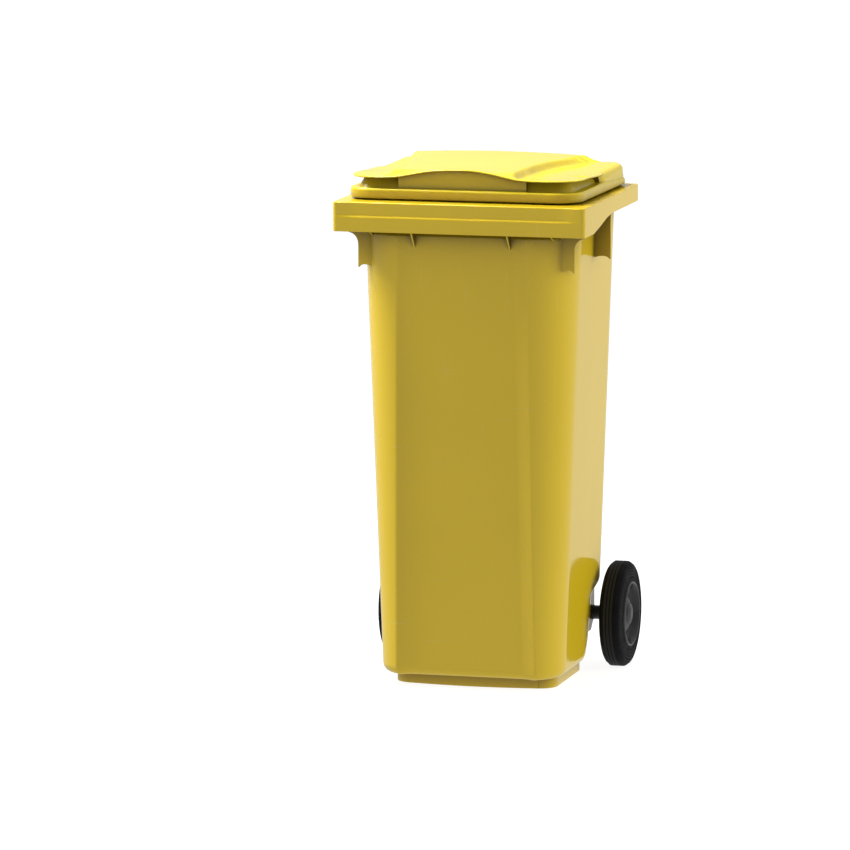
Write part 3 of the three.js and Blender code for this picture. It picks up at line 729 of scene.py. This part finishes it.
def build_hub(side, flip):
    """A disc with a raised lip, a rounded dish and a boss round the axle, and the hole for its lock pin."""
    inner_face = [(191, AXLE_BORE), (191, 21.2), (191.8, 22), (199, 24), (199, 44.4), (199.6, 45),
                  (205.4, 46.8), (206, 47.4), (206, 52.4), (205.4, 53), (197.9, 54.9), (197.3, 55.5),
                  (197.3, 61.6)]
    lip = [(237.2, 61.6), (238.2, 61.4), (239.3, 60.7), (239.7, 60), (239.7, 58.6), (239.2, 57.9),
           (238.2, 57.4), (236.4, 56.7), (234, 55.6)]
    dish = [(229, 54), (225.4, 52.8), (223.2, 50.6), (222.4, 47.6), (222.8, 44), (224.4, 40.6), (226.6, 37),
            (229.2, 32), (231.4, 27), (233, 22.8), (233.9, 20.6), (235.2, 19.3), (236.1, 18.3), (236.4, 17.4)]
    boss = [(236.5, 15.6), (233.4, 15.4), (233.4, AXLE_BORE)]
    hub = turned(f"hub_{side}_shaped", inner_face + lip + dish + boss, AXLE_Y, AXLE_Z, 128, flip, WHEELED)
    low, high = (AXLE_Z + h for h in LOCK_SPAN)
    pocket = rod_z("lock_pocket", LOCK_HOLE, (-1 if flip else 1) * LOCK_X, AXLE_Y, low, high, 32)
    boolean(hub, [pocket], "DIFFERENCE")
    soften(hub, WHEELED)
    return hub


def build_cap(side, flip):
    profile = [(233.8, 0), (233.8, 14.8), (234.1, 15.1), (235.9, 15.1), (236.6, 14.6), (237.4, 12.6),
               (237.9, 10.6), (238.3, 9.8), (238.45, 7), (238.55, 3.2), (238.6, 0)]
    return turned(f"cap_{side}_shaped", profile, AXLE_Y, AXLE_Z, 96, flip, ROUND)


def build_sleeve(side, flip):
    profile = [(161.3, AXLE_BORE), (161.3, 13.4), (161.9, 14), (164.5, 14), (165.1, 13.2), (187, 13.2),
               (187.6, 14), (190.1, 14), (190.7, 13.4), (190.7, AXLE_BORE)]
    return turned(f"sleeve_{side}_shaped", profile, AXLE_Y, AXLE_Z, 96, flip, ROUND)


def build_axle():
    half = [(209.6, 10), (210, 9.6), (210, 7.9), (210.2, 7.8), (217.8, 7.8), (218, 7.9), (218, 9.6),
            (218.4, 10), (231.4, 10), (232.2, 9.6), (233, 8.4), (233, 0)]
    left = [(-x, r) for x, r in half[::-1]]
    return turned("axle_shaped", left + half, AXLE_Y, AXLE_Z, 96, False, WHEELED)


def build_pin(side, flip):
    profile = [(141, 0), (141, 4.3), (141.5, 4.9), (143.6, 6), (202.3, 6), (202.3, 8.6), (202.7, 9),
               (204.6, 9), (205.8, 8.6), (206.8, 7.6), (207.3, 6.4), (207.3, 4.2), (206.9, 3.6), (206.6, 0)]
    return turned(f"pin_{side}_shaped", profile, HINGE_Y, HINGE_Z, 72, flip, ROUND)


def build_buffer(i):
    low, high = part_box(f"lid_buffer_{i}")
    x, y = (low.x + high.x) / 2 / MM, (low.y + high.y) / 2 / MM
    base, tip = low.z / MM, high.z / MM
    profile = ((base, 4.6), (base + 0.2, 5.2), (base + 0.8, 5.6), (base + 2.6, 5.9), (base + 4.2, 5.5),
               (tip - 2, 5.5), (tip - 0.5, 5.4), (tip, 5.0))
    rings = [raised(np.array([(x, y)]) + arc(0, 0, r, 0, 352.5, 48), z) for z, r in profile]
    return loft(f"buffer_{i}_shaped", rings, ROUND)


small = []                        # every smaller piece with its material's slot


def settle(obj, node, slot, body_name):
    """Puts a piece in the place of a CAD node, on the body that it moves with."""
    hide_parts(node)
    small.append((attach(obj, body_name), slot))


settle(build_axle(), "axle", "axle_steel", "body")
for side, flip in (("right", False), ("left", True)):
    settle(build_tyre(side, flip), f"tyre_{side}", "tyre_rubber", f"wheel_{side}")
    settle(build_hub(side, flip), f"wheel_hub_{side}", "wheel_plastic", f"wheel_{side}")
    settle(build_cap(side, flip), f"hub_cap_{side}", "wheel_plastic", f"wheel_{side}")
    settle(build_sleeve(side, flip), f"axle_sleeve_{side}", "wheel_plastic", "body")
    settle(build_pin(side, flip), f"hinge_pin_{side}", "pin_plastic", "body")
for i in (1, 2, 3, 4):
    settle(build_buffer(i), f"lid_buffer_{i}", "buffer_rubber", "lid")

# ---------- camera, lights, floor ----------
AZIMUTH, ELEVATION, ROLL = math.radians(15.3), math.radians(8.5), math.radians(-0.151)
DISTANCE, TARGET = 13.0, Vector((-0.1386, 0.0, 0.4632))
LENS, SENSOR = 291.4, 36.0
level = math.cos(ELEVATION)
back = Vector((math.sin(AZIMUTH) * level, -math.cos(AZIMUTH) * level, math.sin(ELEVATION)))
camera = bpy.data.objects.new("camera", bpy.data.cameras.new("camera"))
bpy.context.scene.collection.objects.link(camera)
bpy.context.scene.camera = camera
camera.location = TARGET + back * DISTANCE
camera.rotation_mode = "QUATERNION"
camera.rotation_quaternion = (-back).to_track_quat("-Z", "Y") @ Quaternion((0, 0, 1), ROLL)
camera.data.sensor_width = SENSOR
camera.data.lens = LENS
camera.data.clip_start, camera.data.clip_end = 0.5, 200.0

bpy.context.scene.view_settings.view_transform = "Standard"


def area_light(name, place, aim, size, power):
    """A white rectangular light at a place, turned to the point that it aims at."""
    light = bpy.data.lights.new(name, "AREA")
    light.shape, light.size, light.size_y = "RECTANGLE", size[0], size[1]
    light.energy = power
    obj = bpy.data.objects.new(name, light)
    bpy.context.scene.collection.objects.link(obj)
    obj.location = place
    obj.rotation_mode = "QUATERNION"
    obj.rotation_quaternion = (Vector(place) - Vector(aim)).to_track_quat("Z", "Y")
    return obj


area_light("softbox_top", (-1.5, -0.2, 3.2), (0, 0, 0.9), (0.9, 2.0), 180)
area_light("softbox_left", (-3.2, -1.4, 1.9), (0, 0, 0.5), (1.4, 1.4), 5)
area_light("softbox_right", (3.2, 0.9, 0.9), (0, 0, 0.6), (1.6, 1.7), 46).visible_glossy = False


def light_path_mix(tree, unseen, shown, output):
    """The first shader for light and reflections, the second for the camera."""
    path = tree.nodes.new("ShaderNodeLightPath")
    mix = tree.nodes.new("ShaderNodeMixShader")
    tree.links.new(path.outputs["Is Camera Ray"], mix.inputs[0])
    tree.links.new(unseen, mix.inputs[1])
    tree.links.new(shown, mix.inputs[2])
    tree.links.new(mix.outputs[0], output)


def slope_of(tree, source, axis, low, high, to_low, to_high):
    """A number that follows one axis of a vector."""
    split = tree.nodes.new("ShaderNodeSeparateXYZ")
    tree.links.new(source, split.inputs[0])
    node = tree.nodes.new("ShaderNodeMapRange")
    tree.links.new(split.outputs[axis], node.inputs["Value"])
    for socket, v in zip(("From Min", "From Max", "To Min", "To Max"), (low, high, to_low, to_high)):
        node.inputs[socket].default_value = v
    return node.outputs[0]


HORIZON, ZENITH, BACKDROP = 0.26, 0.60, 0.22    # the studio's brightness level, overhead, and added behind
FLOOR_GLOW = (0.69, 0.70)         # the floor's brightness in reflections, near the bin and 7 m behind it
FLOOR_SEEN, FLOOR_SHADE = 0.90, 0.26    # what the camera sees: a glow, and a grey that takes the shadow
FLOOR_HALF = 40

world = bpy.data.worlds.new("studio")
bpy.context.scene.world = world
world.use_nodes = True
tree = world.node_tree
sky = tree.nodes["Background"]
sky.inputs["Color"].default_value = (1, 1, 1, 1)
direction = tree.nodes.new("ShaderNodeTexCoord").outputs["Generated"]
total = tree.nodes.new("ShaderNodeMath")
total.operation = "ADD"
tree.links.new(slope_of(tree, direction, "Z", 0.2, 1.0, HORIZON, ZENITH), total.inputs[0])
tree.links.new(slope_of(tree, direction, "Y", 0.1, 0.8, 0.0, BACKDROP), total.inputs[1])
tree.links.new(total.outputs[0], sky.inputs["Strength"])
seen = tree.nodes.new("ShaderNodeBackground")
seen.inputs["Strength"].default_value = 1.0
light_path_mix(tree, sky.outputs[0], seen.outputs[0], tree.nodes["World Output"].inputs[0])

floor_mesh = bpy.data.meshes.new("floor")
corners = [(-1, -1), (1, -1), (1, 1), (-1, 1)]
floor_mesh.from_pydata([(x * FLOOR_HALF, y * FLOOR_HALF, 0) for x, y in corners], [], [(0, 1, 2, 3)])
floor = bpy.data.objects.new("floor", floor_mesh)
bpy.context.scene.collection.objects.link(floor)
floor_material = bpy.data.materials.new("floor")
floor_material.use_nodes = True
tree = floor_material.node_tree
tree.nodes.remove(tree.nodes["Principled BSDF"])
lit = tree.nodes.new("ShaderNodeEmission")
place = tree.nodes.new("ShaderNodeTexCoord").outputs["Object"]
tree.links.new(slope_of(tree, place, "Y", 1.0, 7.0, *FLOOR_GLOW), lit.inputs["Strength"])
shade = tree.nodes.new("ShaderNodeBsdfDiffuse")
shade.inputs["Color"].default_value = (FLOOR_SHADE, FLOOR_SHADE, FLOOR_SHADE, 1)
glow = tree.nodes.new("ShaderNodeEmission")
glow.inputs["Strength"].default_value = FLOOR_SEEN
both = tree.nodes.new("ShaderNodeAddShader")
tree.links.new(shade.outputs[0], both.inputs[0])
tree.links.new(glow.outputs[0], both.inputs[1])
light_path_mix(tree, lit.outputs[0], both.outputs[0], tree.nodes["Material Output"].inputs[0])
floor.data.materials.append(floor_material)


# ---------- materials ----------
class Look:
    """Builds a procedural material: each call adds a node and returns its output."""

    def __init__(self, name):
        self.material = bpy.data.materials.new(name)
        self.material.use_nodes = True
        self.tree = self.material.node_tree
        self.shader = self.tree.nodes["Principled BSDF"]
        self.place = self.tree.nodes.new("ShaderNodeTexCoord").outputs["Object"]

    def link(self, value, socket):
        if hasattr(value, "links"):
            self.tree.links.new(value, socket)
        else:
            socket.default_value = value

    def noise(self, scale, detail, stretch=None, rough=0.5):
        """A cloudy pattern from 0 to 1 with most of its values near 0.5. stretch scales the axes."""
        place = self.place
        if stretch:
            mapping = self.tree.nodes.new("ShaderNodeMapping")
            mapping.inputs["Scale"].default_value = stretch
            self.tree.links.new(place, mapping.inputs["Vector"])
            place = mapping.outputs[0]
        node = self.tree.nodes.new("ShaderNodeTexNoise")
        self.tree.links.new(place, node.inputs["Vector"])
        node.inputs["Scale"].default_value = scale
        node.inputs["Detail"].default_value = detail
        node.inputs["Roughness"].default_value = rough
        return node.outputs["Fac"]

    def ranged(self, value, low, high, to_low, to_high):
        """The range low to high turned into to_low to to_high, and held at its ends outside."""
        node = self.tree.nodes.new("ShaderNodeMapRange")
        node.clamp = True
        sockets = ("Value", "From Min", "From Max", "To Min", "To Max")
        for socket, v in zip(sockets, (value, low, high, to_low, to_high)):
            self.link(v, node.inputs[socket])
        return node.outputs[0]

    def clouds(self, scale, detail):
        """Noise spread over the whole range from 0 to 1."""
        return self.ranged(self.noise(scale, detail), 0.3, 0.7, 0.0, 1.0)

    def math(self, operation, a, b):
        node = self.tree.nodes.new("ShaderNodeMath")
        node.operation = operation
        self.link(a, node.inputs[0])
        self.link(b, node.inputs[1])
        return node.outputs[0]

    def mixed(self, factor, a, b):
        node = self.tree.nodes.new("ShaderNodeMix")
        node.data_type = "RGBA"
        self.link(factor, node.inputs[0])
        self.link(a, node.inputs[6])  # the sockets "A" and "B" of the colours, and their "Result"
        self.link(b, node.inputs[7])
        return node.outputs[2]

    def scratches(self, scale, stretch, threshold):
        """Thin, broken streaks."""
        return self.ranged(self.noise(scale, 2.0, stretch), threshold, threshold + 0.03, 0.0, 1.0)

    def edges(self):
        """1 on worn outer edges, 0 elsewhere."""
        geometry = self.tree.nodes.new("ShaderNodeNewGeometry")
        return self.ranged(geometry.outputs["Pointiness"], 0.53, 0.62, 0.0, 1.0)

    def painted_shade_mask(self, distance, alone):
        """Mask of painted shade: 1 deep in narrow places where shade falls, 0 in the open and on faces that
        look up. alone leaves other pieces out.

        distance is how far the surface looks for something that shelters it, in metres.
        """
        node = self.tree.nodes.new("ShaderNodeAmbientOcclusion")
        node.samples = 6
        node.only_local = alone
        node.inputs["Distance"].default_value = distance
        split = self.tree.nodes.new("ShaderNodeSeparateXYZ")
        self.tree.links.new(self.tree.nodes.new("ShaderNodeNewGeometry").outputs["Normal"], split.inputs[0])
        sheltered = self.ranged(split.outputs["Z"], 0.3, 0.8, 1.0, 0.0)
        return self.math("MULTIPLY", self.ranged(node.outputs["AO"], 0.42, 0.97, 1.0, 0.0), sheltered)

    def bump(self, height, strength, distance):
        node = self.tree.nodes.new("ShaderNodeBump")
        node.inputs["Strength"].default_value = strength
        node.inputs["Distance"].default_value = distance
        self.tree.links.new(height, node.inputs["Height"])
        self.tree.links.new(node.outputs[0], self.shader.inputs["Normal"])

    def finish(self, colour, roughness):
        self.link(colour, self.shader.inputs["Base Color"])
        self.link(roughness, self.shader.inputs["Roughness"])
        return self.material


def rgba(r, g, b):
    return (r, g, b, 1.0)


def tinted(colour, factor):
    """The colour made lighter or darker, with alpha."""
    return rgba(*(min(1.0, c * factor) for c in colour))


SCRATCHED, DUST, TREAD_DUST = rgba(0.93, 0.83, 0.42), rgba(0.16, 0.15, 0.13), rgba(0.05, 0.048, 0.045)
WORN_PLASTIC, WORN_RUBBER, TARNISH = rgba(0.20, 0.20, 0.20), rgba(0.12, 0.12, 0.12), rgba(0.24, 0.20, 0.16)
# how far the painted shade in hollows looks for shelter, in metres
SHADE_REACH = 0.12


def yellow_plastic(name, base, shine, alone):
    """Glossy moulded polyethylene: faint flow marks, specks, orange peel, hairline scratches and pale edges.

    Painted shade darkens hollows and faces that don't look up; hollows are also less glossy.
    """
    look = Look(name)
    flow = look.ranged(look.noise(5.0, 4.0, (1.0, 1.0, 0.18)), 0.35, 0.65, 0.0, 1.0)
    colour = look.mixed(look.clouds(2.6, 3.0), tinted(base, 0.97), tinted(base, 1.04))
    colour = look.mixed(look.math("MULTIPLY", flow, 0.35), colour, tinted(base, 0.93))
    speck = look.ranged(look.noise(420.0, 2.0), 0.66, 0.74, 0.0, 0.35)
    colour = look.mixed(speck, colour, tinted(base, 0.72))
    upright = look.scratches(150.0, (1.0, 1.0, 0.05), 0.70)
    scratch = look.math("MAXIMUM", upright, look.scratches(170.0, (0.06, 0.06, 1.0), 0.71))
    colour = look.mixed(look.math("MULTIPLY", scratch, 0.07), colour, SCRATCHED)
    colour = look.mixed(look.math("MULTIPLY", look.edges(), 0.22), colour, tinted(base, 1.18))
    # painted shade: hollows and faces that don't look up turn dark brownish yellow, as if in shadow
    hollow_shade = look.painted_shade_mask(SHADE_REACH, alone)
    colour = look.mixed(hollow_shade, colour, rgba(base[0] * 0.22, base[1] * 0.20, 0.002))
    rough = look.ranged(look.noise(9.0, 4.0), 0.3, 0.7, shine, shine + 0.035)
    rough = look.math("ADD", rough, look.math("MULTIPLY", scratch, 0.06))
    rough = look.math("ADD", rough, look.math("MULTIPLY", hollow_shade, 0.35))
    peel = look.math("ADD", look.noise(150.0, 2.0), look.math("MULTIPLY", look.noise(22.0, 2.0), 2.0))
    look.bump(peel, 0.10, 0.0004)
    look.shader.inputs["IOR"].default_value = 1.5
    return look.finish(colour, rough)


def black_plastic(name, base, shine):
    """Satin moulded plastic: mottling, fine grain, worn edges and a little dust."""
    look = Look(name)
    colour = look.mixed(look.clouds(14.0, 4.0), tinted(base, 0.8), tinted(base, 1.25))
    colour = look.mixed(look.ranged(look.noise(60.0, 5.0), 0.58, 0.8, 0.0, 0.12), colour, DUST)
    colour = look.mixed(look.math("MULTIPLY", look.edges(), 0.5), colour, WORN_PLASTIC)
    look.bump(look.noise(900.0, 3.0), 0.12, 0.0002)
    return look.finish(colour, look.ranged(look.noise(40.0, 4.0), 0.3, 0.7, shine - 0.06, shine + 0.08))


def rubber(name, base):
    """Moulded rubber: matt, mottled and grainy, with a little dust and worn edges."""
    look = Look(name)
    colour = look.mixed(look.clouds(20.0, 5.0), tinted(base, 0.7), tinted(base, 1.4))
    scuff = look.ranged(look.noise(70.0, 6.0, None, 0.65), 0.56, 0.74, 0.0, 0.10)
    colour = look.mixed(scuff, colour, TREAD_DUST)
    colour = look.mixed(look.math("MULTIPLY", look.edges(), 0.70), colour, WORN_RUBBER)
    look.bump(look.noise(650.0, 4.0), 0.25, 0.0003)
    look.shader.inputs["Specular IOR Level"].default_value = 0.08
    return look.finish(colour, look.ranged(look.noise(30.0, 4.0), 0.3, 0.7, 0.50, 0.68))


def steel(name, base, shine):
    """Zinc-plated or bright steel: cloudy plating, fine lengthwise grain and dull spots."""
    look = Look(name)
    colour = look.mixed(look.clouds(45.0, 4.0), tinted(base, 0.82), tinted(base, 1.1))
    colour = look.mixed(look.ranged(look.noise(120.0, 5.0), 0.62, 0.72, 0.0, 0.5), colour, TARNISH)
    look.shader.inputs["Metallic"].default_value = 1.0
    look.bump(look.noise(500.0, 3.0, (0.06, 1.0, 1.0)), 0.15, 0.0002)
    return look.finish(colour, look.ranged(look.noise(60.0, 4.0), 0.3, 0.7, shine, shine + 0.16))


LOOKS = {
    "body_plastic": yellow_plastic("body_plastic_look", (0.80, 0.56, 0.018), 0.075, True),
    "lid_plastic": yellow_plastic("lid_plastic_look", (0.82, 0.63, 0.022), 0.085, False),
    "wheel_plastic": black_plastic("wheel_plastic_look", (0.022, 0.022, 0.023), 0.34),
    "pin_plastic": black_plastic("pin_plastic_look", (0.026, 0.026, 0.028), 0.40),
    "tyre_rubber": rubber("tyre_rubber_look", (0.0045, 0.0045, 0.0048)),
    "buffer_rubber": rubber("buffer_rubber_look", (0.02, 0.02, 0.02)),
    "axle_steel": steel("axle_steel_look", (0.62, 0.63, 0.65), 0.30),
    "lock_steel": steel("lock_steel_look", (0.66, 0.66, 0.67), 0.22),
}
for piece, slot in [(body, "body_plastic"), (lid, "lid_plastic"), *small]:
    piece.data.materials.clear()
    piece.data.materials.append(LOOKS[slot])
for side in ("left", "right"):
    for node in (f"lock_pin_{side}", f"lock_spring_{side}"):
        for holder in bpy.data.objects[node].material_slots:
            holder.material = LOOKS["lock_steel"]
